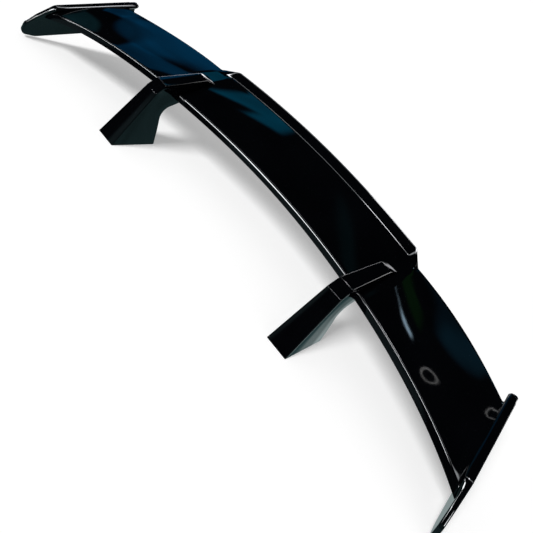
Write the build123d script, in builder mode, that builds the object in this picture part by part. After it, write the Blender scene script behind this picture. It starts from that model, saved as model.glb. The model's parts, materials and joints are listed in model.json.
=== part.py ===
"""Rear wing of a road or club-racing car: a bowed hollow blade on two uprights, with toed end plates.

Frame: +X to the right-hand tip, +Y rearward, +Z up. The origin lies midway between the two feet,
on the plane of the boot lid. All sizes are in millimetres.
"""
from build123d import *
import math
import os

os.makedirs("parts", exist_ok=True)

# ---------------------------------------------------------------- driving dimensions: the blade
HALF_SPAN = 650.0           # where the blade's leading edge reaches the end plate
BLADE_RUN_OUT = 668.0       # last loft station, trimmed back to the end plate
CENTRE_HALF = 300.0         # half width of the raised centre section
OUTER_START = 334.0         # where the plain outer section begins
NOSE_LEAN = 5.6             # the nose's lower edge stands this far ahead of its upper edge
NOSE_HEIGHT = 12.0
KICK_DEPTH = 20.5           # the upswept lip behind the crease
KICK_RISE = 16.0
WALL = 2.8                  # moulded skin
EDGE = 3.2                  # thickness left at the trailing edge
CREASE_THICKNESS = 9.0      # blade thickness at the crease

# ---------------------------------------------------------------- driving dimensions: end plates
TOE = 7.05                  # degrees: the plates stand wider at the front
LEAN = 12.14                # degrees: they stand wider at the bottom
PLATE_START = 681.8         # X at which the outer face would cross the X axis
PLATE_THICKNESS = 10.0
PLATE_ROUND = 4.5
RIM_WIDTH = 18.0            # the rolled rim along the top, thicker than the plate
RIM_DEPTH = 13.0
RIM_LENGTH = 184.0
RIM_ROUND = 4.6
RIM_SLOPE = 18.97           # degrees: the plate's top edge rises rearward
RIM_PLACE = (97.3, 129.0)   # the rim's middle, along and up the plate

# ---------------------------------------------------------------- driving dimensions: uprights
FOOT_INNER = 270.3
FOOT_OUTER = 323.0
FOOT_HALF_LENGTH = 57.5
SHELL = 3.2                 # upright wall
GASKET = 1.5
BASE_PLATE = 4.0
STRAP_HEIGHT = 164.0
FOOT_BOSS = 6.0             # posts that the base plate screws into
FOOT_BOSS_HEIGHT = 18.0
FOOT_WEB = 3.0
FIXING_OFFSET = 16.0        # base plate screws, either side of the foot's middle

# ---------------------------------------------------------------- driving dimensions: fasteners
BOLT_SPACING_Y = 70.0       # two M6 inserts in each foot
M6_BORE = 2.5
INSERT_RADIUS = 4.5
INSERT_LENGTH = 12.0
STRAP_SCREW_Y = (92.0, 135.0)
STRAP_SCREW_LENGTH = 30.0
HOOK_THICKNESS = 5.2        # the upright's hook under the blade, at the front screw
M5_RADIUS = 2.5
SHELL_SCREW_X = (75.0, 215.0, 400.0, 520.0)
PLATE_SCREW_U = (18.0, 46.0, 74.0)
PLATE_HEAD = 5.0
PLATE_HEAD_DEPTH = 4.0
PLATE_INSERT_RADIUS = 3.5
PLATE_SCREW_LENGTH = 21.0
HEX_SOCKET = 1.9
CLEARANCE = 0.25            # round the shank of every M5 screw
PILOT_RADIUS = 1.6          # self-tapping screws
SHELL_SCREW_HEAD = (3.2, 2.0)       # radius, height
SHELL_SCREW_PROUD = 1.4
SHELL_SCREW_LENGTH = 13.0
BOSS_RADIUS = 4.5
BASE_SCREW_HEAD = (3.6, 1.2)        # radius, height
BASE_SCREW_LENGTH = 16.0
STRAP_HEAD = (4.6, 3.5)             # radius, height
STRAP_HEAD_SUNK = 2.5
STRAP_SOCKET = (2.3, 2.0)           # across the corners' radius, depth
STRAP_INSERT_BASE = 100.0
STRAP_INSERT_TOP = 52.0     # above the base: stops short of the strap's top
STRAP_BOSS = 6.0
STRAP_INSERT_RADIUS = 3.5

FOOT_X = (FOOT_INNER + FOOT_OUTER) / 2
BASE_WIDTH = FOOT_OUTER - FOOT_INNER - 2 * SHELL - 0.6
BASE_LENGTH = 96.0


# ---------------------------------------------------------------- the blade's lines
def nose(x):
    """Upper edge of the nose: swept forward and drooping towards the tips."""
    u = abs(x) / HALF_SPAN
    return Vector(113.6 - 175.5 * u**2 + 44.8 * u**4, 126.1 - 46.0 * u**5)


def tail(x):
    """Upper edge of the trailing edge: the kicked-up centre, or the plain outer section."""
    a = abs(x)
    if a <= CENTRE_HALF:
        return Vector(272.3 - 0.000133 * a**2, 197.4 - 0.00014 * a**2)
    out = a - OUTER_START
    return Vector(234.5 - 0.00134 * (a - 362) ** 2, 168.2 - 0.112 * out + 0.0000922 * out**2)


def crease(x):
    """Foot of the kick-up; in the outer sections it is only a station on the smooth top."""
    if abs(x) <= CENTRE_HALF:
        return tail(x) - Vector(KICK_DEPTH, KICK_RISE)
    return nose(x) + (tail(x) - nose(x)) * 0.75 + Vector(0, 2.4)


def bowed(a, b, rise):
    """Middle point of an arc from a to b, standing off the chord by the given rise."""
    along = (b - a).normalized()
    return (a + b) * 0.5 + Vector(-along.Y, along.X) * rise


def stations(x):
    """Named corner points of the blade's section at x, as (Y, Z)."""
    kicked = abs(x) <= CENTRE_HALF
    top, te, fold = nose(x), tail(x), crease(x)
    low = top - Vector(NOSE_LEAN, NOSE_HEIGHT + 2 * abs(x) / HALF_SPAN)
    lip = Vector(1.2, -EDGE) if kicked else Vector(0, -EDGE)
    under = Vector(6.5, -8.0) if kicked else Vector(0, -CREASE_THICKNESS)
    seam = low + Vector(SHELL, -0.4)
    inner_nose = top + Vector(SHELL, -2.2)
    step = WALL / (inner_nose - seam).Y
    return {
        "top": top,
        "fold": fold,
        "te": te,
        "te_mid": te + lip * 0.5,
        "te_low": te + lip,
        "fold_low": fold + under,
        "low": low,
        "seam": seam,
        "seam_up": seam + (inner_nose - seam) * step,
        "inner_nose": inner_nose,
        "fold_in": fold + Vector(1.0 if kicked else 0, -WALL),
        "fold_low_in": fold + under + Vector(-0.8 if kicked else 0, WALL - 0.2),
    }


TOP_BOW = 2.2
BELLY = -4.0
OUTLINES = {
    "blade": [("low", "top", 0), ("top", "fold", TOP_BOW), ("fold", "te", 0), ("te", "te_low", 0),
              ("te_low", "fold_low", 0), ("fold_low", "seam", -BELLY), ("seam", "low", 0)],
    "upper": [("low", "top", 0), ("top", "fold", TOP_BOW), ("fold", "te", 0), ("te", "te_mid", 0),
              ("te_mid", "fold_in", 0), ("fold_in", "inner_nose", -TOP_BOW),
              ("inner_nose", "seam", 0), ("seam", "low", 0)],
    "lower": [("seam", "seam_up", 0), ("seam_up", "fold_low_in", BELLY), ("fold_low_in", "te_mid", 0),
              ("te_mid", "te_low", 0), ("te_low", "fold_low", 0), ("fold_low", "seam", -BELLY)],
    "cavity": [("seam_up", "inner_nose", 0), ("inner_nose", "fold_in", TOP_BOW),
               ("fold_in", "te_mid", 0), ("te_mid", "fold_low_in", 0),
               ("fold_low_in", "seam_up", -BELLY)],
}


def section(x, kind):
    """Face of the blade's section at x, for one of the outlines."""
    points = stations(x)
    with BuildSketch(Plane.YZ.offset(x)) as face:
        with BuildLine():
            for start, end, rise in OUTLINES[kind]:
                a, b = points[start], points[end]
                if rise:
                    ThreePointArc(a, bowed(a, b, rise), b)
                else:
                    Line(a, b)
        make_face()
    return face.sketch


CENTRE_STATIONS = [CENTRE_HALF * i / 3 for i in range(-3, 4)]
OUTER_STATIONS = [OUTER_START, 385, 440, 495, 550, 600, BLADE_RUN_OUT]
toe, lean = math.radians(TOE), math.radians(LEAN)
PLATE_AFT = Vector(-math.sin(toe), math.cos(toe), 0)
PLATE_NORMAL = Vector(math.cos(lean) * math.cos(toe), math.cos(lean) * math.sin(toe), math.sin(lean))
plate_face = Plane(origin=(PLATE_START, 0, 0), x_dir=PLATE_AFT, z_dir=PLATE_NORMAL)
plate_root = plate_face.offset(-PLATE_THICKNESS)
left_root = Plane(
    origin=(-plate_root.origin.X, plate_root.origin.Y, plate_root.origin.Z),
    x_dir=(math.sin(toe), math.cos(toe), 0),
    z_dir=(-PLATE_NORMAL.X, PLATE_NORMAL.Y, PLATE_NORMAL.Z),
)


def blade_body(kind):
    """One layer of the blade over its whole span, trimmed to the end plates."""
    with BuildPart() as body:
        loft([section(x, kind) for x in CENTRE_STATIONS])
        loft([section(CENTRE_HALF, kind), section(OUTER_START, kind)], ruled=True)
        loft([section(x, kind) for x in OUTER_STATIONS])
        loft([section(-CENTRE_HALF, kind), section(-OUTER_START, kind)], ruled=True)
        loft([section(-x, kind) for x in OUTER_STATIONS])
        split(bisect_by=plate_root, keep=Keep.BOTTOM)
        split(bisect_by=left_root, keep=Keep.BOTTOM)
    return body.part


blade = blade_body("blade")
cavity = blade_body("cavity")


def middle_of(x, share):
    """Y at a share of the chord between the nose and the crease."""
    return nose(x).X + (crease(x).X - nose(x).X) * share


def height_on(start, end, rise, y):
    """Height at y on a shallow arc between two section points."""
    t = (y - start.X) / (end.X - start.X)
    return start.Y + t * (end.Y - start.Y) + 4 * rise * t * (1 - t)


def topside(x, y):
    """Height of the blade's top between the nose and the crease."""
    points = stations(x)
    return height_on(points["top"], points["fold"], TOP_BOW, y)


def underside(x, y):
    """Height of the blade's underside between the nose and the crease."""
    points = stations(x)
    return height_on(points["low"], points["fold_low"], BELLY, y)


def export(builder, name):
    builder.part.label = name
    export_step(builder.part, f"parts/{name}.step")


# ---------------------------------------------------------------- the blade's two shells
ABOVE_ALL = 260.0
boss_places = [(side * x, middle_of(x, 0.45)) for x in SHELL_SCREW_X for side in (-1, 1)]
strap_screw_places = [(side * FOOT_X, y) for side in (-1, 1) for y in STRAP_SCREW_Y]

with BuildPart() as bosses:
    with BuildSketch():
        with Locations(*boss_places):
            Circle(BOSS_RADIUS)
    extrude(amount=ABOVE_ALL)
    add(Pos(0, 0, 1.2) * cavity, mode=Mode.INTERSECT)

with BuildPart() as strap_bores:
    with BuildSketch():
        with Locations(*strap_screw_places):
            Circle(M5_RADIUS + CLEARANCE)
    extrude(amount=ABOVE_ALL)

with BuildPart() as shell_screws:
    for x, y in boss_places:
        bottom = Plane.XY.offset(underside(x, y) - SHELL_SCREW_PROUD)
        with BuildSketch(bottom):
            with Locations((x, y)):
                Circle(SHELL_SCREW_HEAD[0])
        extrude(amount=SHELL_SCREW_HEAD[1])
        with BuildSketch(bottom):
            with Locations((x, y)):
                Circle(PILOT_RADIUS)
        extrude(amount=SHELL_SCREW_LENGTH)
export(shell_screws, "shell_screws")

with BuildPart() as right_strap_screws:
    for x, y in strap_screw_places[-2:]:
        seat = underside(x, y) - (HOOK_THICKNESS if y == STRAP_SCREW_Y[0] else 0)
        bottom = Plane.XY.offset(seat - STRAP_HEAD_SUNK)
        with BuildSketch(bottom):
            with Locations((x, y)):
                Circle(STRAP_HEAD[0])
        extrude(amount=STRAP_HEAD[1])
        with BuildSketch(bottom):
            with Locations((x, y)):
                Circle(M5_RADIUS)
        extrude(amount=STRAP_HEAD[1] + STRAP_SCREW_LENGTH)
        with BuildSketch(bottom):
            with Locations((x, y)):
                RegularPolygon(STRAP_SOCKET[0], 6)
        extrude(amount=STRAP_SOCKET[1], mode=Mode.SUBTRACT)


def left_of(builder):
    """The same piece on the other side of the car."""
    with BuildPart() as other:
        mirror(builder.part, about=Plane.YZ)
    return other


def pair_of(builder):
    """Both sides' pieces together, as separate solids."""
    with BuildPart() as both:
        add(builder.part)
        mirror(builder.part, about=Plane.YZ)
    return both


strap_screws = pair_of(right_strap_screws)
export(strap_screws, "strap_screws")

with BuildPart() as blade_upper_shell:
    add(blade_body("upper"))
    add(bosses.part)
    add(shell_screws.part, mode=Mode.SUBTRACT)
    add(strap_bores.part, mode=Mode.SUBTRACT)
export(blade_upper_shell, "blade_upper_shell")

with BuildPart() as blade_lower_shell:
    add(blade_body("lower"))
    add(strap_bores.part, mode=Mode.SUBTRACT)
    add(shell_screws.part, mode=Mode.SUBTRACT)
    add(strap_screws.part, mode=Mode.SUBTRACT)
export(blade_lower_shell, "blade_lower_shell")


# ---------------------------------------------------------------- ribs inside the blade
def inner_rib(x, thickness):
    """Web across the blade's cavity at x, in one piece from nose to tail."""
    with BuildPart() as rib:
        with BuildSketch(Plane.YZ.offset(x - thickness / 2)):
            with Locations((100, 120)):
                Rectangle(270, 240)
        extrude(amount=thickness)
        add(cavity, mode=Mode.INTERSECT)
    return rib


export(inner_rib(0, 2.5), "centre_rib")
export(inner_rib(-150, 2.5), "left_inner_rib")
export(inner_rib(150, 2.5), "right_inner_rib")

# ---------------------------------------------------------------- tip ribs and end plates
TIP_RIB = 14.0


def blade_middle(along):
    """Place on the plate's root plane, as (along, up), half way through the blade's thickness."""
    up = 90.0
    for step in range(4):
        spot = plate_root.from_local_coords(Vector(along, up, 0))
        middle = (topside(spot.X, spot.Y) + underside(spot.X, spot.Y)) / 2
        up += middle - spot.Z
    return along, up


plate_screw_points = [blade_middle(along) for along in PLATE_SCREW_U]

with BuildPart() as right_tip_rib:
    with BuildSketch(plate_root):
        with Locations((80, 110)):
            Rectangle(150, 200)
    extrude(amount=-TIP_RIB)
    add(cavity, mode=Mode.INTERSECT)
    with BuildSketch(plate_root):
        with Locations(*plate_screw_points):
            Circle(PLATE_INSERT_RADIUS)
    extrude(amount=-INSERT_LENGTH, mode=Mode.SUBTRACT)
export(right_tip_rib, "right_tip_rib")

PLATE_CORNERS = [           # along the plate, up the plate, corner radius
    (187, 167, 9), (-8.5, 99.8, 22), (-41, 65, 60), (-61, 36.5, 25), (-66, 7.5, 10),
    (-30, 6.5, 30), (142, 65.5, 40), (187, 120, 30),
]

with BuildSketch() as plate_outline:
    with BuildLine():
        Polyline([(u, v) for u, v, radius in PLATE_CORNERS], close=True)
    make_face()
    for u, v, radius in PLATE_CORNERS:
        fillet(plate_outline.vertices().sort_by_distance((u, v, 0))[0], radius)

with BuildPart() as right_rim:
    with BuildSketch(plate_face):
        with Locations(Location(RIM_PLACE + (0,), (0, 0, RIM_SLOPE))):
            RectangleRounded(RIM_LENGTH, RIM_DEPTH, RIM_DEPTH * 0.4)
    extrude(amount=-RIM_WIDTH)
    fillet(right_rim.faces().filter_by(Axis((0, 0, 0), PLATE_NORMAL)).edges(), RIM_ROUND)
    add(blade, mode=Mode.SUBTRACT)

with BuildPart() as right_end_plate:
    with BuildSketch(plate_face):
        add(plate_outline.sketch)
    extrude(amount=-PLATE_THICKNESS)
    fillet(right_end_plate.faces().filter_by(Axis((0, 0, 0), PLATE_NORMAL)).edges(), PLATE_ROUND)
    add(right_rim.part)
    with BuildSketch(plate_face):
        with Locations(*plate_screw_points):
            Circle(M5_RADIUS + CLEARANCE)
    extrude(amount=-PLATE_THICKNESS, mode=Mode.SUBTRACT)
    with BuildSketch(plate_face):
        with Locations(*plate_screw_points):
            Circle(PLATE_HEAD + 0.2)
    extrude(amount=-PLATE_HEAD_DEPTH, mode=Mode.SUBTRACT)
export(right_end_plate, "right_end_plate")

with BuildPart() as right_plate_screws:
    with BuildSketch(plate_face.offset(-1)):
        with Locations(*plate_screw_points):
            Circle(PLATE_HEAD)
    extrude(amount=1 - PLATE_HEAD_DEPTH)
    with BuildSketch(plate_face.offset(-1)):
        with Locations(*plate_screw_points):
            Circle(M5_RADIUS)
    extrude(amount=-PLATE_SCREW_LENGTH)
    with BuildSketch(plate_face.offset(-1)):
        with Locations(*plate_screw_points):
            RegularPolygon(HEX_SOCKET, 6)
    extrude(amount=-1.8, mode=Mode.SUBTRACT)

with BuildPart() as right_plate_inserts:
    with BuildSketch(plate_root):
        with Locations(*plate_screw_points):
            Circle(PLATE_INSERT_RADIUS)
        with Locations(*plate_screw_points):
            Circle(M5_RADIUS, mode=Mode.SUBTRACT)
    extrude(amount=-INSERT_LENGTH)


export(left_of(right_tip_rib), "left_tip_rib")
export(left_of(right_end_plate), "left_end_plate")
export(pair_of(right_plate_screws), "end_plate_screws")
export(pair_of(right_plate_inserts), "end_plate_inserts")

# ---------------------------------------------------------------- uprights
HOOK = {                    # side views as (Y, Z): lines, then the rear throat's two arcs
    "whole": ([(FOOT_HALF_LENGTH, 0), (-FOOT_HALF_LENGTH, 0), (11.1, 127), (31, 147.4), (150, 164), (181, 156.5), (181, 148),
               (118, 124), (92.7, 108.5), (67.7, 98.3)], (51.5, 86.5), (47, 69.5), (52.6, 38)),
    "hollow": ([(54, 0), (-53.1, 0), (13.5, 124), (58, 124), (62, 99.5)],
               (48.3, 87), (43.6, 69.5), (49.2, 38)),
}
COVER_SLICE = [(-FOOT_HALF_LENGTH, 0), (11.1, 127), (31, 147.4), (150, 164), (181, 156.5), (181, 149), (80, 121),
               (66, 141), (33, 141), (14.2, 124.9), (-53.1, 0), (-FOOT_HALF_LENGTH, 0)]
STRAP_HOLLOW = [(82, 100), (82, 151.5), (148.5, 160.6), (164, 157), (164, 100), (82, 100)]


def hook_outline(kind):
    """Side view of a whole upright, or of the hollow inside it."""
    lines, throat, waist, heel = HOOK[kind]
    with BuildSketch() as outline:
        with BuildLine():
            Polyline(lines)
            ThreePointArc(lines[-1], throat, waist)
            ThreePointArc(waist, heel, lines[0])
        make_face()
    return outline.sketch


def polygon(points):
    """Filled outline through the given points."""
    with BuildSketch() as outline:
        with BuildLine():
            Polyline(points)
        make_face()
    return outline.sketch


def upright_block(side_view, shrink):
    """One side view's volume between the upright's tapering side faces, drawn in by shrink."""
    inner, outer = FOOT_INNER + shrink, FOOT_OUTER - shrink
    low = [(inner, -80), (outer, -80), (outer, 12), (outer, 150), (outer, 190), (inner, 190),
           (inner, 150), (inner, 12), (inner, -80)]
    high = [(278.3 + shrink, -80), (310.6 - shrink, -80), (310.6 - shrink, 12), (316.5 - shrink, 150),
            (320.8 - shrink, 190), (290.6 + shrink, 190), (287.7 + shrink, 150), (278.3 + shrink, 12),
            (278.3 + shrink, -80)]
    with BuildPart() as block:
        with BuildSketch(Plane.XY):
            add(polygon(low))
        with BuildSketch(Plane.XY.offset(STRAP_HEIGHT)):
            add(polygon(high))
        loft(ruled=True)
        with BuildSketch(Plane.YZ.offset(240)):
            add(side_view)
        extrude(amount=110, mode=Mode.INTERSECT)
    return block.part


cover_block = upright_block(polygon(COVER_SLICE), 0)
right_strap_places = strap_screw_places[-2:]
base_bolts = [(FOOT_X, side * BOLT_SPACING_Y / 2) for side in (-1, 1)]
plate_fixings = [(FOOT_X + side * FIXING_OFFSET, 0) for side in (-1, 1)]

with BuildPart() as foot_room:
    with BuildSketch():
        with Locations((FOOT_X, 0)):
            Rectangle(BASE_WIDTH, BASE_LENGTH)
    extrude(amount=GASKET + BASE_PLATE)

with BuildPart() as fixing_bosses:
    with BuildSketch(Plane.XY.offset(GASKET + BASE_PLATE)):
        with Locations(*plate_fixings):
            Circle(FOOT_BOSS)
    extrude(amount=FOOT_BOSS_HEIGHT)
    with BuildSketch(Plane.XY.offset(GASKET + BASE_PLATE)):
        with Locations((FOOT_X, 0)):
            Rectangle(FOOT_OUTER - FOOT_INNER - 2, FOOT_WEB)
    extrude(amount=FOOT_BOSS_HEIGHT)

with BuildPart() as right_upright_body:
    add(upright_block(hook_outline("whole"), 0))
    add(cover_block, mode=Mode.SUBTRACT)
    add(blade, mode=Mode.SUBTRACT)
    add(blade_lower_shell.part, mode=Mode.SUBTRACT)
    add(upright_block(hook_outline("hollow"), SHELL), mode=Mode.SUBTRACT)
    add(fixing_bosses.part)
    add(foot_room.part, mode=Mode.SUBTRACT)
    with BuildSketch(Plane.XY.offset(GASKET + BASE_PLATE)):
        with Locations(*plate_fixings):
            Circle(PILOT_RADIUS)
    extrude(amount=BASE_SCREW_LENGTH - 2, mode=Mode.SUBTRACT)
    add(strap_bores.part, mode=Mode.SUBTRACT)
    add(right_strap_screws.part, mode=Mode.SUBTRACT)
export(right_upright_body, "right_upright_body")

with BuildPart() as strap_bosses:
    with BuildSketch(Plane.XY.offset(110)):
        with Locations(*right_strap_places):
            Circle(STRAP_BOSS)
    extrude(amount=70)
    add(cover_block, mode=Mode.INTERSECT)

with BuildPart() as right_upright_cover:
    add(cover_block)
    add(upright_block(polygon(STRAP_HOLLOW), SHELL), mode=Mode.SUBTRACT)
    add(strap_bosses.part)
    add(blade, mode=Mode.SUBTRACT)
    with BuildSketch(Plane.XY.offset(STRAP_INSERT_BASE)):
        with Locations(*right_strap_places):
            Circle(STRAP_INSERT_RADIUS)
    extrude(amount=STRAP_INSERT_TOP, mode=Mode.SUBTRACT)
    add(right_strap_screws.part, mode=Mode.SUBTRACT)
export(right_upright_cover, "right_upright_cover")
export(left_of(right_upright_body), "left_upright_body")
export(left_of(right_upright_cover), "left_upright_cover")

# ---------------------------------------------------------------- feet
with BuildPart() as right_base_plate:
    with BuildSketch(Plane.XY.offset(GASKET)):
        with Locations((FOOT_X, 0)):
            Rectangle(BASE_WIDTH, BASE_LENGTH)
        with Locations(*base_bolts):
            Circle(INSERT_RADIUS, mode=Mode.SUBTRACT)
        with Locations(*plate_fixings):
            Circle(2.2, mode=Mode.SUBTRACT)
    extrude(amount=BASE_PLATE)
export(right_base_plate, "right_base_plate")

with BuildPart() as right_base_inserts:
    with BuildSketch(Plane.XY.offset(GASKET)):
        with Locations(*base_bolts):
            Circle(INSERT_RADIUS)
        with Locations(*base_bolts):
            Circle(M6_BORE, mode=Mode.SUBTRACT)
    extrude(amount=INSERT_LENGTH)

with BuildPart() as right_foot_gasket:
    with BuildSketch():
        with Locations((FOOT_X, 0)):
            Rectangle(BASE_WIDTH, BASE_LENGTH)
        with Locations(*base_bolts):
            Circle(M6_BORE, mode=Mode.SUBTRACT)
        with Locations(*plate_fixings):
            Circle(4.5, mode=Mode.SUBTRACT)
    extrude(amount=GASKET)

with BuildPart() as right_plate_fixings:
    with BuildSketch(Plane.XY.offset(GASKET)):
        with Locations(*plate_fixings):
            Circle(PILOT_RADIUS)
    extrude(amount=BASE_SCREW_LENGTH)
    with BuildSketch(Plane.XY.offset(GASKET - BASE_SCREW_HEAD[1])):
        with Locations(*plate_fixings):
            Circle(BASE_SCREW_HEAD[0])
    extrude(amount=BASE_SCREW_HEAD[1])

export(left_of(right_base_plate), "left_base_plate")
export(right_foot_gasket, "right_foot_gasket")
export(left_of(right_foot_gasket), "left_foot_gasket")
export(pair_of(right_base_inserts), "base_inserts")
export(pair_of(right_plate_fixings), "base_plate_screws")

# ---------------------------------------------------------------- inserts and sleeves at the strap
with BuildPart() as right_strap_inserts:
    with BuildSketch(Plane.XY.offset(STRAP_INSERT_BASE)):
        with Locations(*right_strap_places):
            Circle(STRAP_INSERT_RADIUS)
        with Locations(*right_strap_places):
            Circle(M5_RADIUS, mode=Mode.SUBTRACT)
    extrude(amount=STRAP_INSERT_TOP)
    add(strap_bosses.part, mode=Mode.INTERSECT)
    add(blade, mode=Mode.SUBTRACT)

with BuildPart() as right_sleeves:
    with BuildSketch(Plane.XY.offset(100)):
        with Locations(*right_strap_places):
            Circle(M5_RADIUS + 2)
        with Locations(*right_strap_places):
            Circle(M5_RADIUS + CLEARANCE, mode=Mode.SUBTRACT)
    extrude(amount=60)
    add(cavity, mode=Mode.INTERSECT)
    add(right_strap_screws.part, mode=Mode.SUBTRACT)

export(pair_of(right_strap_inserts), "strap_inserts")
export(pair_of(right_sleeves), "blade_sleeves")
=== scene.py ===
import json
import math
import bmesh
import bpy
from mathutils import Matrix, Vector

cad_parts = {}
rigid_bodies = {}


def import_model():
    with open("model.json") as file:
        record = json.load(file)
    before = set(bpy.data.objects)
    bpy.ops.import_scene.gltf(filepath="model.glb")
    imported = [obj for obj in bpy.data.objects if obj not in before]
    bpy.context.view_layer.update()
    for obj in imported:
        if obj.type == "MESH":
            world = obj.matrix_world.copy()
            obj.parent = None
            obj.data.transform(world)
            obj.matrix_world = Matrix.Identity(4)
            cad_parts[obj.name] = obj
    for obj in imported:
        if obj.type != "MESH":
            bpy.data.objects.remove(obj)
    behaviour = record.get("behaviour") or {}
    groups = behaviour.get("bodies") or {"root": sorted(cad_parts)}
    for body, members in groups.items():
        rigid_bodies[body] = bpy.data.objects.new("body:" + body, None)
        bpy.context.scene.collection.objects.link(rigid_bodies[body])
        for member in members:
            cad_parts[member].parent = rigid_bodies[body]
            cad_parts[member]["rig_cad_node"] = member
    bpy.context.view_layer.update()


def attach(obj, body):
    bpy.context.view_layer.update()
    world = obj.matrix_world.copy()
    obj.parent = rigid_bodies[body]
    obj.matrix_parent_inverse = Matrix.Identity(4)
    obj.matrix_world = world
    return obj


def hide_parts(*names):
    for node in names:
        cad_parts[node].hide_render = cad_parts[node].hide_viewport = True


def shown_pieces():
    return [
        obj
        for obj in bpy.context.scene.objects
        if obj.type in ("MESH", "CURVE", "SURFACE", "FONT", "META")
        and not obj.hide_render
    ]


# Gloss-black rear wing: bowed blade with a kicked-up centre, two hooked uprights, toed end plates.
# Sizes below are in millimetres, in the CAD frame: +X right-hand tip, +Y rearward, +Z up.
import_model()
MM = 0.001

# ---------------------------------------------------------------- driving sizes
HALF_SPAN = 650.0
CENTRE_HALF = 300.0
OUTER_START = 334.0
FLAT_START = 335.6                  # first station outboard of the kicked-up centre's slanted ends
TOE = math.radians(7.05)
LEAN = math.radians(12.14)
PLATE_START = Vector((681.8, 0, 0))
PLATE_THICKNESS = 10.0
PLATE_EDGE = 2.4                    # rounding of the end plates' edges
RIM_STAND = 8.0                     # how far the rolled rim stands in from the plate
SKIN_INTO_PLATE = 0.6               # how far the blade's end runs into the plate
FLARE_RADIUS = 7.0                  # the blade's flare at each plate: along X,
FLARE_LIFT = 3.4                    # up and down from its faces,
FLARE_AFT = 14.0                    # and rearward at the trailing edge
STRAP_HEIGHT = 164.0
NORMAL = Vector((math.cos(LEAN) * math.cos(TOE), math.cos(LEAN) * math.sin(TOE), math.sin(LEAN)))
AFT = Vector((-math.sin(TOE), math.cos(TOE), 0))
RISING = NORMAL.cross(AFT)


# ---------------------------------------------------------------- mesh helpers
def lerp(a, b, t):
    """Value a share t of the way from a to b."""
    return a + (b - a) * t


def spread(a, b, count):
    """Evenly spaced values from a to b, both ends included."""
    return [a + (b - a) * i / (count - 1) for i in range(count)]


def ringed(rings):
    """Vertices and faces of a capped skin through closed rings that all have the same number of points."""
    n = len(rings[0])
    verts = [p for ring in rings for p in ring]
    faces = []
    for r in range(len(rings) - 1):
        for i in range(n):
            j = (i + 1) % n
            faces.append((r * n + i, r * n + j, (r + 1) * n + j, (r + 1) * n + i))
    faces.append(tuple(reversed(range(n))))
    faces.append(tuple(range((len(rings) - 1) * n, len(rings) * n)))
    return verts, faces


def solid(name, skin, side=1):
    """Mesh object of a skin, mirrored to the left when side is -1, with its faces turned outward."""
    verts, faces = skin
    mesh = bpy.data.meshes.new(name)
    mesh.from_pydata([(side * p[0] * MM, p[1] * MM, p[2] * MM) for p in verts], [], faces)
    bm = bmesh.new()
    bm.from_mesh(mesh)
    bmesh.ops.recalc_face_normals(bm, faces=bm.faces)
    bm.to_mesh(mesh)
    bm.free()
    obj = bpy.data.objects.new(name, mesh)
    bpy.context.scene.collection.objects.link(obj)
    return obj


def settle(obj, material, nodes, angle=32):
    """Smooth faces with crisp corners, the material, and the place in the CAD frame."""
    obj.data.polygons.foreach_set("use_smooth", [True] * len(obj.data.polygons))
    obj.data.set_sharp_from_angle(angle=math.radians(angle))
    obj.data.materials.clear()
    obj.data.materials.append(material)
    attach(obj, "root")
    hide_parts(*nodes)
    return obj


def cut(obj, tools):
    """Takes the tool solids out of obj and deletes them."""
    for tool in tools:
        change = obj.modifiers.new("cut", "BOOLEAN")
        change.operation = "DIFFERENCE"
        change.solver = "EXACT"
        change.object = tool
    graph = bpy.context.evaluated_depsgraph_get()
    graph.update()
    mesh = bpy.data.meshes.new_from_object(obj.evaluated_get(graph))
    obj.modifiers.clear()
    obj.data = mesh
    for tool in tools:
        bpy.data.objects.remove(tool)


def rounded(corners, steps, closed=True):
    """Outline through (x, y, radius) corners, each rounded with an arc of the given steps."""
    path = []
    n = len(corners)
    for i, (x, y, radius) in enumerate(corners):
        here = Vector((x, y))
        if not closed and i in (0, n - 1) or radius == 0:
            path.append(here)
            continue
        before = Vector(corners[i - 1][:2]) - here
        after = Vector(corners[(i + 1) % n][:2]) - here
        half = before.angle(after) / 2
        reach = min(radius / math.tan(half), before.length * 0.48, after.length * 0.48)
        turn = reach * math.tan(half)
        middle = here + (before.normalized() + after.normalized()).normalized() * turn / math.sin(half)
        start = here + before.normalized() * reach - middle
        end = here + after.normalized() * reach - middle
        sweep = math.atan2(start.x * end.y - start.y * end.x, start.dot(end))
        for t in spread(0, 1, steps + 1):
            angle = sweep * t
            path.append(middle + Vector((
                start.x * math.cos(angle) - start.y * math.sin(angle),
                start.x * math.sin(angle) + start.y * math.cos(angle))))
    return path


def inward(path, closed=True):
    """Unit vectors pointing to the left of travel at each point of a path."""
    n = len(path)
    found = []
    for i in range(n):
        a = path[i - 1] if closed or i else path[0]
        b = path[(i + 1) % n] if closed or i < n - 1 else path[n - 1]
        along = (b - a).normalized()
        found.append(Vector((-along.y, along.x)))
    return found


# ---------------------------------------------------------------- the blade's lines
def nose(x):
    """Top of the leading edge at x, as (Y, Z)."""
    u = abs(x) / HALF_SPAN
    return Vector((113.6 - 175.5 * u**2 + 44.8 * u**4, 126.1 - 46.0 * u**5))


def nose_foot(x):
    """Bottom of the nose band at x, as (Y, Z)."""
    return nose(x) - Vector((5.6, 12 + 2 * abs(x) / HALF_SPAN))


def tail(x):
    """Trailing edge at x, as (Y, Z)."""
    a = abs(x)
    if a <= CENTRE_HALF:
        return Vector((272.3 - 0.000133 * a**2, 197.4 - 0.00014 * a**2))
    out = a - OUTER_START
    return Vector((234.5 - 0.00134 * (a - 362) ** 2, 168.2 - 0.112 * out + 0.0000922 * out**2))


def crease(x):
    """Crease ahead of the trailing edge at x, as (Y, Z)."""
    if abs(x) <= CENTRE_HALF:
        return tail(x) - Vector((20.5, 16.0))
    return lerp(nose(x), tail(x), 0.75) + Vector((0, 2.4))


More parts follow.
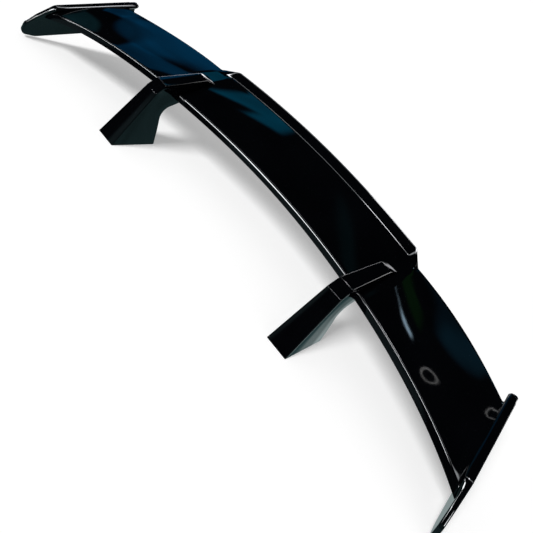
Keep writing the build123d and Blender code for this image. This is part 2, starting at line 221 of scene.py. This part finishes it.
def traced(points):
    """Section path through (point, radius, bow to the next point, samples on the way) corners."""
    n = len(points)
    path = []
    for i, (here, radius, bow, samples) in enumerate(points):
        there, next_radius = points[(i + 1) % n][:2]
        way = there - here
        side = Vector((-way.y, way.x)).normalized() * 4 * bow
        first, last = radius / way.length, 1 - next_radius / way.length
        for t in spread(first, last, samples):
            path.append(here + way * t + side * t * (1 - t))
        if next_radius:
            start = path[-1]
            leave = points[(i + 2) % n][0] - there
            next_bow = points[(i + 1) % n][2]
            t = next_radius / leave.length
            end = there + leave * t + Vector((-leave.y, leave.x)).normalized() * 4 * next_bow * t * (1 - t)
            for s in (0.25, 0.5, 0.75):
                path.append(start * (1 - s) ** 2 + there * 2 * s * (1 - s) + end * s * s)
    return path


def plain_section(x, kind):
    """Section of the top skin or the bottom skin at x, as (Y, Z) points."""
    top, te, fold, low = nose(x), tail(x), crease(x), nose_foot(x)
    if abs(x) <= CENTRE_HALF:
        turn, lip, under = 2.4, Vector((1.2, -3.2)), Vector((6.5, -8.0))
        fold_in, under_in = Vector((1.0, -2.8)), Vector((-0.8, 2.6))
    else:
        turn, lip, under = 14.0, Vector((0, -3.2)), Vector((0, -9.0))
        fold_in, under_in = Vector((0, -2.8)), Vector((0, 2.6))
    seam = low + Vector((3.2, -0.4))
    inner_nose = top + Vector((3.2, -2.2))
    if kind == "top":
        return traced([
            (low, 0, 0.4, 5), (top, 1.8, 2.2, 22), (fold, turn, 0, 7), (te, 0.9, 0, 3),
            (te + lip * 0.5, 0, 0, 3), (fold + fold_in, 0, -2.2, 5), (inner_nose, 0, 0, 3), (seam, 0, 0, 2)])
    return traced([
        (te + lip * 0.5, 0, 0, 2), (te + lip, 0.8, 0, 8), (fold + under, turn, 4.0, 22),
        (seam, 1.0, 0, 2), (lerp(seam, inner_nose, 0.24), 0, -4.0, 6), (fold + under + under_in, 0, 0, 4)])


def section(x, kind):
    """As plain_section, ruled straight across the slanted ends of the kicked-up centre."""
    a = abs(x)
    if CENTRE_HALF < a < OUTER_START:
        t = (a - CENTRE_HALF) / (OUTER_START - CENTRE_HALF)
        inner = plain_section(CENTRE_HALF, kind)
        outer = plain_section(OUTER_START, kind)
        return [lerp(p, q, t) for p, q in zip(inner, outer)]
    return plain_section(x, kind)


def to_plate(p):
    """Distance from a point to the end plate's inner face, positive on the blade's side."""
    return (PLATE_START - p).dot(NORMAL) - PLATE_THICKNESS + SKIN_INTO_PLATE


def blade_end(kind, row):
    """X where one row of the blade's skin meets the end plate."""
    reach = 640.0
    for _ in range(6):
        p = section(reach, kind)[row]
        reach += to_plate(Vector((reach, p.x, p.y))) / NORMAL.x
    return reach


def blade_skin(kind):
    """The whole blade's top or bottom skin, ending in a small flare at each end plate."""
    stations = spread(0, 296, 23) + [298.6, 301.4, 306, 314, 322, 329, 332.6, FLAT_START]
    half = [[Vector((x, p.x, p.y)) for p in section(x, kind)] for x in stations]
    rows = range(len(half[0]))
    lifted = range(0, 37) if kind == "top" else range(2, 36)
    away = [-v for v in inward(section(500, kind))]
    ends = [blade_end(kind, row) for row in rows]
    fold, te = crease(600), tail(600)
    rearward = [min(1, max(0, (p.x - fold.x) / (te.x - fold.x))) for p in section(600, kind)]
    stand = [RIM_STAND * share for share in rearward]
    for share in [0.02, 0.05] + spread(0.1, 0.9, 20) + [0.94, 0.965]:
        ring = []
        for row in rows:
            x = lerp(FLAT_START, ends[row] - (FLARE_RADIUS + 1) - stand[row], share)
            p = section(x, kind)[row]
            ring.append(Vector((x, p.x, p.y)))
        half.append(ring)
    for turn in spread(0, 80, 7):
        a = math.radians(turn)
        ring = []
        for row in rows:
            lift = FLARE_LIFT * (1 - rearward[row]) if row in lifted else 0
            x = ends[row] - stand[row] - FLARE_RADIUS * (1 - math.sin(a)) / NORMAL.x
            aft = (tail(x) - crease(x)).normalized() * FLARE_AFT * rearward[row] ** 2
            p = section(x, kind)[row] + (away[row] * lift + aft) * (1 - math.cos(a))
            ring.append(Vector((x, p.x, p.y)))
        half.append(ring)
    half.append([Vector((end, p.y, p.z)) for end, p in zip(ends, half[-1])])
    other = [[Vector((-p.x, p.y, p.z)) for p in ring] for ring in reversed(half[1:])]
    return ringed(other + half)


# ---------------------------------------------------------------- end plates
PLATE_CORNERS = [(178, 163.9, 16), (-8.5, 99.8, 22), (-41, 65, 60), (-62, 37.5, 22), (-64.8, 8, 12),
                 (-30, 6.5, 30), (142, 65.5, 40), (187, 120, 30)]
RIM_LINE = [(175, 162.9, 0), (-8.5, 99.8, 22), (-30, 76.7, 0)]
RIM_STEP = 9.0                      # spacing of the rings along the rim
RIM_FULL = 172.0                    # length over which the rim stands in fully
RIM_END = 9.0                       # radius of the rim's domed rear end
PLATE_SCREW_U = (18.0, 46.0, 74.0)
POCKET_RADIUS, POCKET_DEPTH = 5.2, 4.0


def on_plate(u, v, depth):
    """Point at u along and v up the end plate, a depth in from its outer face."""
    return PLATE_START + AFT * u + RISING * v - NORMAL * depth


def plate_skin():
    """Flat plate with rounded edges."""
    outline = rounded(PLATE_CORNERS, 10)
    turned = inward(outline)
    far = PLATE_THICKNESS
    arc = [math.radians(a) for a in spread(0, 90, 6)]
    profile = [(PLATE_EDGE + 0.5, 0)]
    profile += [(PLATE_EDGE * (1 - math.sin(a)), PLATE_EDGE * (1 - math.cos(a))) for a in arc]
    profile += [(0, PLATE_EDGE + 0.4), (0, far - PLATE_EDGE - 0.4)]
    profile += [(PLATE_EDGE * (1 - math.cos(a)), far - PLATE_EDGE * (1 - math.sin(a))) for a in arc]
    profile.append((PLATE_EDGE + 0.5, far))
    rings = []
    for inset, depth in profile:
        rings.append([on_plate(*(p + q * inset), depth) for p, q in zip(outline, turned)])
    return ringed(rings)


def bead_skin():
    """Rolled rim: stands in from the plate along the top, and fades out at the front corner."""
    path = rounded(RIM_LINE, 10, closed=False)
    fine = []
    for a, b in zip(path, path[1:]):
        parts = max(1, round((b - a).length / RIM_STEP))
        fine += [lerp(a, b, i / parts) for i in range(parts)]
    fine.append(path[-1])
    turned = inward(fine, closed=False)
    total = sum((b - a).length for a, b in zip(fine, fine[1:]))
    rings, gone = [], 0.0
    for i, (p, q) in enumerate(zip(fine, turned)):
        gone += (p - fine[i - 1]).length if i else 0
        fade = 1 - max(0, gone - RIM_FULL) / (total - RIM_FULL)
        stand = RIM_STAND * min(1, max(0, fade)) ** 0.7
        deep = PLATE_THICKNESS + stand
        shape = [(6, 5.0), (4.4, 0.02), (1.9, 0.5), (0.5, 1.9), (0.0, 4.2), (0.0, deep - 6.4),
                 (0.6, deep - 3.4), (2.2, deep - 1.2), (4.6, deep), (6.8, deep - 0.1 * stand),
                 (8.6, deep - 0.34 * stand), (10.4, deep - 0.64 * stand), (12.2, deep - 0.88 * stand),
                 (14.5, PLATE_THICKNESS + 0.05), (15, 9.0), (9, 6.0)]
        rings.append([on_plate(*(p + q * inset), depth) for inset, depth in shape])
    middle = on_plate(*(fine[0] + turned[0] * 6), RIM_END)
    aft = (on_plate(*fine[0], 0) - on_plate(*fine[3], 0)).normalized()
    dome = []
    for t in (0.2, 0.4, 0.58, 0.74, 0.87, 0.95, 0.99):
        small, shift = math.sqrt(1 - t * t), aft * (RIM_END * t)
        dome.append([middle + (p - middle) * small + shift for p in rings[0]])
    return ringed(list(reversed(dome)) + rings)


def screw_pocket(u, v):
    """Counterbore for one end plate screw."""
    turns = spread(0, 2 * math.pi, 41)[:-1]
    circle = [(u + POCKET_RADIUS * math.cos(a), v + POCKET_RADIUS * math.sin(a)) for a in turns]
    return ringed([[on_plate(*p, depth) for p in circle] for depth in (-2.0, POCKET_DEPTH)])


def blade_middle(u):
    """Height up the plate of the middle of the blade's end, u along it."""
    up = 90.0
    for _ in range(5):
        spot = on_plate(u, up, PLATE_THICKNESS)
        n, f = nose(spot.x), crease(spot.x)
        low, under = nose_foot(spot.x), f + Vector((0, -9.0))
        heights = []
        for a, b, bow in ((n, f, 2.2), (low, under, -4.0)):
            t = (spot.y - a.x) / (b.x - a.x)
            heights.append(lerp(a.y, b.y, t) + 4 * bow * t * (1 - t))
        up += sum(heights) / 2 - spot.z
    return up


# ---------------------------------------------------------------- uprights
STRAP_SIDES = [                     # Y, inboard X, outboard X at the strap's height
    (12, 278.3, 310.6), (150, 287.7, 316.5), (190, 290.6, 320.8)]
FOOT_SIDES = (270.3, 323.0)         # inboard and outboard X on the floor
FOLD = Vector((11.1, 127))          # top of the front face, as (Y, Z)
SEAM_FOOT = Vector((-53.1, 0))      # seam between the cover and the body: on the floor,
SEAM_TOP = Vector((14.2, 124.9))    # at the first fold,
SEAM_NOSE = Vector((33, 141))       # under the strap's start,
SEAM_HOOK = Vector((66, 141))       # and at the hook's end
THROAT = Vector((47, 69.5))         # narrowest place of the concave rear edge
HEEL = Vector((67.7, 98.3))         # where the rear edge meets the blade's underside
COVER_EDGE, REAR_EDGE, SEAM_EDGE = 1.9, 2.4, 0.1    # rounding of the edges
SOLE_INSET, SOLE_REACH, SOLE_DEPTH = 3.5, 48, 5.5   # the hollow under the foot


def upright_sides(y, z):
    """X of the inboard and outboard faces of the right-hand upright."""
    y = min(max(y, STRAP_SIDES[0][0]), STRAP_SIDES[-1][0])
    for (y0, in0, out0), (y1, in1, out1) in zip(STRAP_SIDES, STRAP_SIDES[1:]):
        if y <= y1:
            t = (y - y0) / (y1 - y0)
            inner, outer = lerp(in0, in1, t), lerp(out0, out1, t)
            break
    t = z / STRAP_HEIGHT
    return lerp(FOOT_SIDES[0], inner, t), lerp(FOOT_SIDES[1], outer, t)


def slab_ring(front, back, front_round, back_round):
    """Closed ring round the upright between two side-view points, with rounded corners."""
    way = (back - front).normalized()
    length = (back - front).length
    arc = [math.radians(a) for a in spread(0, 90, 5)]
    across = [(front_round * (1 - math.cos(a)), front_round * (1 - math.sin(a))) for a in arc]
    across += [(length * t, 0) for t in (0.35, 0.65)]
    across += [(length - back_round * (1 - math.sin(a)), back_round * (1 - math.cos(a))) for a in arc]
    spots = [(front + way * depth, inset) for depth, inset in across]
    ring = [Vector((upright_sides(p.x, p.y)[0] + inset, p.x, p.y)) for p, inset in spots]
    ring += [Vector((upright_sides(p.x, p.y)[1] - inset, p.x, p.y)) for p, inset in reversed(spots)]
    return ring


def resample(path, count):
    """Points evenly spaced along a path."""
    lengths = [0.0]
    for a, b in zip(path, path[1:]):
        lengths.append(lengths[-1] + (b - a).length)
    found = []
    for want in spread(0, lengths[-1], count):
        for i in range(len(path) - 1):
            if want <= lengths[i + 1] + 1e-9:
                t = (want - lengths[i]) / max(lengths[i + 1] - lengths[i], 1e-9)
                found.append(lerp(path[i], path[i + 1], t))
                break
    return found


def at_y(path, y):
    """Point of a path at a given Y."""
    for a, b in zip(path, path[1:]):
        if a.x <= y <= b.x and b.x > a.x:
            return lerp(a, b, (y - a.x) / (b.x - a.x))
    return path[-1].copy()


def arc_through(a, b, c, count):
    """Points on the circle from a through b to c."""
    aa, bb, cc = a.length_squared, b.length_squared, c.length_squared
    d = 2 * (a.x * (b.y - c.y) + b.x * (c.y - a.y) + c.x * (a.y - b.y))
    ux = (aa * (b.y - c.y) + bb * (c.y - a.y) + cc * (a.y - b.y)) / d
    uy = (aa * (c.x - b.x) + bb * (a.x - c.x) + cc * (b.x - a.x)) / d
    centre = Vector((ux, uy))
    start, end = a - centre, c - centre
    sweep = math.atan2(start.x * end.y - start.y * end.x, start.dot(end))
    found = []
    for t in spread(0, sweep, count):
        found.append(centre + Vector((start.x * math.cos(t) - start.y * math.sin(t),
                                      start.x * math.sin(t) + start.y * math.cos(t))))
    return found


CORNER_STEPS = 6                    # arc steps of each corner along the upright's front
FRONT = rounded([(-57.5, 0, 0), (*FOLD, 1.4), (31, 147.4, 4), (150, 164, 2.5), (181, 156.5, 0)],
                CORNER_STEPS, closed=False)
BEND = 1 + 2 * (CORNER_STEPS + 1)   # front points up to here belong to the foot and the two folds


def cover_skin():
    """Front cover: a thin slab down the leg, and the whole strap over the blade."""
    seam = [SEAM_TOP, SEAM_NOSE, SEAM_HOOK, Vector((80, 122)), Vector((181, 149))]
    sides = []
    for t in [0, 0.02] + spread(0.08, 0.92, 9) + [0.97]:
        sides.append((lerp(FRONT[0], FOLD, t), lerp(SEAM_FOOT, SEAM_TOP, t)))
    fold = FRONT[1:BEND]
    sides += list(zip(fold, resample([SEAM_TOP, SEAM_NOSE], len(fold))))
    for y in spread(36, 64, 5) + [67, 72, 76, 80] + spread(86, 144, 9):
        sides.append((at_y(FRONT[BEND - 1:], y), at_y(seam, y)))
    sides += [(front, at_y(seam, front.x)) for front in FRONT[BEND:-1]]
    sides += [(at_y(FRONT[BEND:], y), at_y(seam, y)) for y in (158, 166, 174, 178.5)]
    rings = [slab_ring(front, back, COVER_EDGE, SEAM_EDGE) for front, back in sides]
    rings.append(slab_ring(Vector((180.2, 156.4)), Vector((180.2, 149)), 1.5, SEAM_EDGE))
    rings.append(slab_ring(Vector((181, 155.4)), Vector((181, 149.4)), 1.5, SEAM_EDGE))
    return ringed(rings)


def body_skin():
    """Rear of the upright, with its concave throat, and the hook that runs in under the blade."""
    rear = arc_through(Vector((57.5, 0)), Vector((52.6, 38)), THROAT, 16)
    rear += arc_through(THROAT, Vector((51.5, 86.5)), HEEL, 14)[1:]
    rear += resample([HEEL, Vector((92.7, 108.5)), Vector((112, 120.5))], 14)[1:]
    front = resample([SEAM_FOOT, SEAM_TOP], len(rear) - 13)
    front += resample([SEAM_TOP, SEAM_NOSE, SEAM_HOOK], 14)[1:]
    rings = [slab_ring(a, b, SEAM_EDGE, REAR_EDGE) for a, b in zip(front, rear)]
    sole = []
    for height in (0.0, SOLE_DEPTH):
        ring = []
        for p in rings[0]:
            inner, outer = upright_sides(p.y, 0)
            x = min(max(p.x, inner + SOLE_INSET), outer - SOLE_INSET)
            ring.append(Vector((x, min(max(p.y, -SOLE_REACH), SOLE_REACH), height)))
        sole.append(ring)
    return ringed(list(reversed(sole)) + rings)


# ---------------------------------------------------------------- materials
def surface(name):
    """Empty node material with its Principled shader, coordinates and a way to add nodes."""
    material = bpy.data.materials.new(name)
    material.use_nodes = True
    tree = material.node_tree
    shader = tree.nodes["Principled BSDF"]
    place = tree.nodes.new("ShaderNodeTexCoord").outputs["Object"]
    return material, tree, shader, place


def noise(tree, place, scale, detail=3.0, stretch=None, seed=0.0):
    """Noise over the object's own coordinates, in features per metre."""
    if stretch or seed:
        mapping = tree.nodes.new("ShaderNodeMapping")
        mapping.inputs["Scale"].default_value = stretch or (1, 1, 1)
        mapping.inputs["Location"].default_value = (seed, seed * 0.7, seed * 1.3)
        tree.links.new(place, mapping.inputs["Vector"])
        place = mapping.outputs["Vector"]
    node = tree.nodes.new("ShaderNodeTexNoise")
    node.inputs["Scale"].default_value = scale
    node.inputs["Detail"].default_value = detail
    tree.links.new(place, node.inputs["Vector"])
    return node.outputs["Fac"]


def ramp(tree, source, stops):
    """Colour ramp over (position, colour) stops."""
    node = tree.nodes.new("ShaderNodeValToRGB")
    elements = node.color_ramp.elements
    while len(elements) > 1:
        elements.remove(elements[0])
    for i, (position, colour) in enumerate(stops):
        element = elements[0] if i == 0 else elements.new(position)
        element.position = position
        element.color = (*colour, 1)
    tree.links.new(source, node.inputs["Fac"])
    return node.outputs["Color"]


def math_node(tree, operation, a, b):
    """One arithmetic step between two sockets or numbers."""
    node = tree.nodes.new("ShaderNodeMath")
    node.operation = operation
    for socket, value in zip(node.inputs, (a, b)):
        if isinstance(value, (int, float)):
            socket.default_value = value
        else:
            tree.links.new(value, socket)
    return node.outputs[0]


def bumped(tree, shader, layers):
    """Stacks (height socket, strength, distance in metres) layers into the shader's normal."""
    normal = None
    for height, strength, distance in layers:
        node = tree.nodes.new("ShaderNodeBump")
        node.inputs["Strength"].default_value = strength
        node.inputs["Distance"].default_value = distance
        tree.links.new(height, node.inputs["Height"])
        if normal is not None:
            tree.links.new(normal, node.inputs["Normal"])
        normal = node.outputs["Normal"]
    tree.links.new(normal, shader.inputs["Normal"])


def grey(v):
    """Neutral colour of value v."""
    return (v, v, v)


BLACK_DEEP, BLACK_PALE = (0.0005, 0.0006, 0.0009), (0.0009, 0.0011, 0.0016)
DUST = (0.05, 0.052, 0.056, 1)


def gloss_plastic(name, seed, rough=0.015, ripple=0.025):
    """Piano-black moulded ABS: deep colour, faint orange peel, hairline swirls and a few dust specks."""
    material, tree, shader, place = surface(name)
    depth = noise(tree, place, 9, 2, seed=seed)
    body = ramp(tree, depth, [(0.3, BLACK_DEEP), (0.7, BLACK_PALE)])
    specks = noise(tree, place, 900, 1, seed=seed + 3)
    dust = ramp(tree, specks, [(0.79, grey(0)), (0.86, grey(1))])
    mix = tree.nodes.new("ShaderNodeMix")
    mix.data_type = "RGBA"
    tree.links.new(dust, mix.inputs["Factor"])
    tree.links.new(body, mix.inputs["A"])
    mix.inputs["B"].default_value = DUST
    tree.links.new(mix.outputs["Result"], shader.inputs["Base Color"])
    patches = noise(tree, place, 26, 4, seed=seed + 5)
    hairs = noise(tree, place, 60, 2, stretch=(1, 14, 14), seed=seed + 7)
    swirl = math_node(tree, "MULTIPLY", ramp(tree, hairs, [(0.56, grey(0)), (0.72, grey(1))]), 0.02)
    base = math_node(tree, "MULTIPLY_ADD", patches, 0.03)
    base.node.inputs[2].default_value = rough
    tree.links.new(math_node(tree, "ADD", base, swirl), shader.inputs["Roughness"])
    peel = noise(tree, place, 420, 2, seed=seed)
    wave = noise(tree, place, 14, 1, seed=seed + 1)
    bumped(tree, shader, [(wave, ripple, 0.004), (peel, 0.03, 0.0003), (dust, 0.2, 0.0001)])
    shader.inputs["IOR"].default_value = 1.5
    return material


def satin(name, low, high, rough, metal, grain_scale, grain_stretch=None, bump=0.15, seed=0.0):
    """Plain engineering finish: two close tones, a grain, and roughness that varies."""
    material, tree, shader, place = surface(name)
    tone = noise(tree, place, 35, 4, seed=seed)
    tree.links.new(ramp(tree, tone, [(0.3, low), (0.7, high)]), shader.inputs["Base Color"])
    grain = noise(tree, place, grain_scale, 3, stretch=grain_stretch, seed=seed + 2)
    tree.links.new(ramp(tree, grain, [(0.3, grey(rough * 0.8)), (0.7, grey(rough * 1.25))]),
                   shader.inputs["Roughness"])
    bumped(tree, shader, [(grain, bump, 0.0002)])
    shader.inputs["Metallic"].default_value = metal
    return material


top_gloss = gloss_plastic("blade_gloss", 1.0)
leg_gloss = gloss_plastic("upright_gloss", 12.0, 0.02, 0.02)
plate_gloss = gloss_plastic("plate_gloss", 23.0, 0.025, 0.02)
under_gloss = gloss_plastic("underside_gloss", 31.0, 0.11, 0.06)
finishes = {
    "rib": satin("rib_plastic", grey(0.012), grey(0.02), 0.5, 0, 900, bump=0.3, seed=2),
    "base_plate": satin("base_steel", (0.42, 0.43, 0.44), (0.5, 0.51, 0.52), 0.36, 1, 260, (1, 18, 18),
                        seed=4),
    "gasket": satin("foam_rubber", grey(0.012), grey(0.024), 0.85, 0, 1500, bump=0.5, seed=6),
    "inserts": satin("knurled_brass", (0.5, 0.36, 0.14), (0.62, 0.45, 0.2), 0.28, 1, 1400, (1, 1, 6),
                     seed=8),
    "screws": satin("blackened_steel", grey(0.05), grey(0.08), 0.32, 1, 1200, seed=10),
    "sleeves": satin("drawn_aluminium", grey(0.62), grey(0.7), 0.3, 1, 500, (10, 10, 1), seed=12),
}

# ---------------------------------------------------------------- pieces
blade_top = solid("blade_top_skin", blade_skin("top"))
settle(blade_top, top_gloss, ["blade_upper_shell"], 40)
blade_under = solid("blade_bottom_skin", blade_skin("bottom"))
settle(blade_under, under_gloss, ["blade_lower_shell"], 40)
for side, word in ((1, "right"), (-1, "left")):
    plate = solid(f"{word}_plate_with_rim", plate_skin(), side)
    cut(plate, [solid("pocket", screw_pocket(u, blade_middle(u)), side) for u in PLATE_SCREW_U])
    rim = solid("rim", bead_skin(), side)
    mesh = bmesh.new()
    mesh.from_mesh(plate.data)
    mesh.from_mesh(rim.data)
    mesh.to_mesh(plate.data)
    mesh.free()
    bpy.data.objects.remove(rim)
    settle(plate, plate_gloss, [f"{word}_end_plate"])
    settle(solid(f"{word}_upright_front_and_strap", cover_skin(), side), leg_gloss,
           [f"{word}_upright_cover"], 30)
    settle(solid(f"{word}_upright_rear", body_skin(), side), leg_gloss,
           [f"{word}_upright_body"], 30)

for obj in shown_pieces():
    node = obj.get("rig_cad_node")
    if not node:
        continue
    for word, material in finishes.items():
        if word in node:
            obj.data.materials.clear()
            obj.data.materials.append(material)

# ---------------------------------------------------------------- floor, light, camera
floor_material, floor_tree, floor_shader, floor_place = surface("pale_floor")
tint = noise(floor_tree, floor_place, 1.5, 2)
floor_tree.links.new(ramp(floor_tree, tint, [(0.3, grey(0.86)), (0.7, grey(0.88))]),
                     floor_shader.inputs["Base Color"])
floor_shader.inputs["Roughness"].default_value = 0.9
floor_shader.inputs["Specular IOR Level"].default_value = 0.0
floor_shader.inputs["Emission Color"].default_value = (1, 1, 1, 1)
floor_shader.inputs["Emission Strength"].default_value = 0.28
FLOOR_REACH = 60                    # metres, so that its edge never shows
floor_corners = [(FLOOR_REACH * x, FLOOR_REACH * y, 0) for x, y in ((-1, -1), (1, -1), (1, 1), (-1, 1))]
floor_mesh = bpy.data.meshes.new("floor")
floor_mesh.from_pydata(floor_corners, [], [(0, 1, 2, 3)])
floor = bpy.data.objects.new("floor", floor_mesh)
bpy.context.scene.collection.objects.link(floor)
floor_mesh.materials.append(floor_material)
floor.visible_glossy = False

world = bpy.data.worlds.new("studio")
bpy.context.scene.world = world
world.use_nodes = True
wt = world.node_tree
backdrop = wt.nodes["Background"]
way = wt.nodes.new("ShaderNodeTexCoord").outputs["Generated"]
split = wt.nodes.new("ShaderNodeSeparateXYZ")
wt.links.new(way, split.inputs[0])
across, onward, upward = split.outputs
tilt = math_node(wt, "ARCTAN2", onward, upward)


def band(value, low, high, soft):
    """1 between low and high, fading to 0 over the soft margin."""
    parts = []
    for edge, a, b in ((low, 0, 1), (high, 1, 0)):
        node = wt.nodes.new("ShaderNodeMapRange")
        node.interpolation_type = "SMOOTHSTEP"
        wt.links.new(value, node.inputs["Value"])
        node.inputs["From Min"].default_value = edge - soft
        node.inputs["From Max"].default_value = edge + soft
        node.inputs["To Min"].default_value = a
        node.inputs["To Max"].default_value = b
        parts.append(node.outputs["Result"])
    return math_node(wt, "MULTIPLY", *parts)


def add_light(total, mask, colour):
    """Running sum of the studio's softboxes."""
    node = wt.nodes.new("ShaderNodeVectorMath")
    node.operation = "MULTIPLY_ADD"
    wt.links.new(mask, node.inputs[0])
    node.inputs[1].default_value = colour
    if isinstance(total, tuple):
        node.inputs[2].default_value = total
    else:
        wt.links.new(total, node.inputs[2])
    return node.outputs[0]


def softbox(total, x_range, degrees, colour, soft_x, soft_degrees):
    """Softbox seen only in reflections, between two X shares and two tilts back from overhead."""
    low, high = (math.radians(a) for a in degrees)
    mask = math_node(wt, "MULTIPLY", band(across, *x_range, soft_x),
                     band(tilt, low, high, math.radians(soft_degrees)))
    return add_light(total, mask, colour)


DARK_ROOM, LOW_WALLS = (0.002, 0.0026, 0.004), (0.10, 0.21, 0.22)
FRONT_STRIP, TOP_STRIP = (32, 33, 34), (4.6, 4.8, 5)
SOFTBOXES = [                       # X range, tilt range in degrees, colour, softness of each
    ((-0.98, -0.82), (-61, -53), FRONT_STRIP, 0.02, 2.0),
    ((-0.66, -0.03), (-61, -53), FRONT_STRIP, 0.02, 2.0),
    ((0.22, 0.50), (-61, -53), FRONT_STRIP, 0.02, 2.0),
    ((-0.95, 0.45), (-3.2, 1.8), TOP_STRIP, 0.05, 1.2),
    ((-0.28, -0.16), (-3.5, 3.5), (24, 24, 25), 0.02, 1.2),
    ((0.46, 0.63), (52, 76), (7, 7, 7), 0.02, 3.0),
    ((-0.86, -0.74), (66, 84), (4, 4, 4.2), 0.02, 2.0),
    ((-0.72, -0.50), (64, 78), (5, 5, 5.2), 0.02, 2.0),
    ((-0.30, -0.14), (60, 67), (4, 4, 4.2), 0.02, 1.5),
    ((-0.58, -0.36), (-90, -66), (0.09, 0.14, 0.15), 0.03, 3.0),
    ((0.08, 0.60), (-90, -62), (0.08, 0.15, 0.16), 0.05, 3.0),
    ((-0.73, -0.685), (33, 60), (0.0, 0.16, 0.40), 0.012, 2.0),
    ((-0.73, -0.63), (19, 34), (0.0, 0.17, 0.42), 0.006, 1.2),
    ((-0.60, -0.54), (29.5, 38), (0.0, 0.34, 0.62), 0.01, 1.0),
    ((-0.54, -0.485), (25.5, 34), (0.0, 0.32, 0.58), 0.01, 1.0),
    ((-0.97, -0.735), (34, 60), (0.0, 0.075, 0.18), 0.01, 1.5),
    ((-0.97, -0.80), (18, 50), (0.015, 0.08, 0.10), 0.01, 2.0),
    ((-0.5, 0.3), (115, 165), (0.42, 0.42, 0.41), 0.1, 6.0),
    ((-0.085, -0.04), (35.5, 40), (0.012, 0.075, 0.008), 0.012, 1.0),
    ((-0.10, -0.055), (31.3, 32.3), (2.6, 3.7, 4.6), 0.008, 0.4),
    ((0.0, 0.06), (40, 46), (0.015, 0.09, 0.15), 0.02, 1.5),
    ((-0.33, -0.28), (20, 26), (0.008, 0.04, 0.045), 0.02, 2.0),
]
RING_PLACE = (0.045, math.radians(29))  # the ring light: X share and tilt of its middle,
RING_SIZE = (0.027, math.radians(1.9))  # and its two radii
room = add_light(DARK_ROOM, band(upward, -2.0, -0.07, 0.06), LOW_WALLS)
for x_range, degrees, colour, soft_x, soft_degrees in SOFTBOXES:
    room = softbox(room, x_range, degrees, colour, soft_x, soft_degrees)
squares = []
for value, middle, size in zip((across, tilt), RING_PLACE, RING_SIZE):
    offset = math_node(wt, "DIVIDE", math_node(wt, "SUBTRACT", value, middle), size)
    squares.append(math_node(wt, "POWER", offset, 2))
ring_reach = math_node(wt, "ADD", *squares)
room = add_light(room, band(ring_reach, 0.7, 1.15, 0.12), grey(1.5))
clutter = math_node(wt, "MULTIPLY_ADD", noise(wt, way, 7, 4), 1.5)
clutter.node.inputs[2].default_value = 0.25
varied = wt.nodes.new("ShaderNodeVectorMath")
varied.operation = "MULTIPLY"
wt.links.new(room, varied.inputs[0])
wt.links.new(clutter, varied.inputs[1])
path_node = wt.nodes.new("ShaderNodeLightPath")
blend = wt.nodes.new("ShaderNodeMix")
blend.data_type = "RGBA"
wt.links.new(path_node.outputs["Is Glossy Ray"], blend.inputs["Factor"])
blend.inputs["A"].default_value = (*grey(0.3), 1)
wt.links.new(varied.outputs[0], blend.inputs["B"])
shown = wt.nodes.new("ShaderNodeMix")
shown.data_type = "RGBA"
wt.links.new(path_node.outputs["Is Camera Ray"], shown.inputs["Factor"])
wt.links.new(blend.outputs["Result"], shown.inputs["A"])
shown.inputs["B"].default_value = (*grey(1), 1)
wt.links.new(shown.outputs["Result"], backdrop.inputs["Color"])

SUN_TRAVEL = Vector((0.2, 1.05, -1))
sun_data = bpy.data.lights.new("soft_key", "SUN")
sun_data.energy = 2.6
sun_data.angle = math.radians(20)
sun = bpy.data.objects.new("soft_key", sun_data)
bpy.context.scene.collection.objects.link(sun)
sun.rotation_mode = "QUATERNION"
sun.rotation_quaternion = SUN_TRAVEL.to_track_quat("-Z", "Y")
sun.visible_glossy = False

CAMERA_PLACE = Vector((0.5069, -0.7700, 0.6445))
CAMERA_RIGHT = Vector((0.6142, 0.6319, 0.4727))
CAMERA_UP = Vector((-0.7149, 0.1920, 0.6723))
CAMERA_BACK = Vector((0.3341, -0.7509, 0.5697))
camera_data = bpy.data.cameras.new("camera")
camera_data.sensor_width = 36
camera_data.lens = 36.675
camera = bpy.data.objects.new("camera", camera_data)
bpy.context.scene.collection.objects.link(camera)
pose = Matrix((CAMERA_RIGHT, CAMERA_UP, CAMERA_BACK)).transposed().to_4x4()
pose.translation = CAMERA_PLACE
camera.matrix_world = pose
camera_data.clip_end = 60
bpy.context.scene.camera = camera
bpy.context.scene.view_settings.view_transform = "Standard"
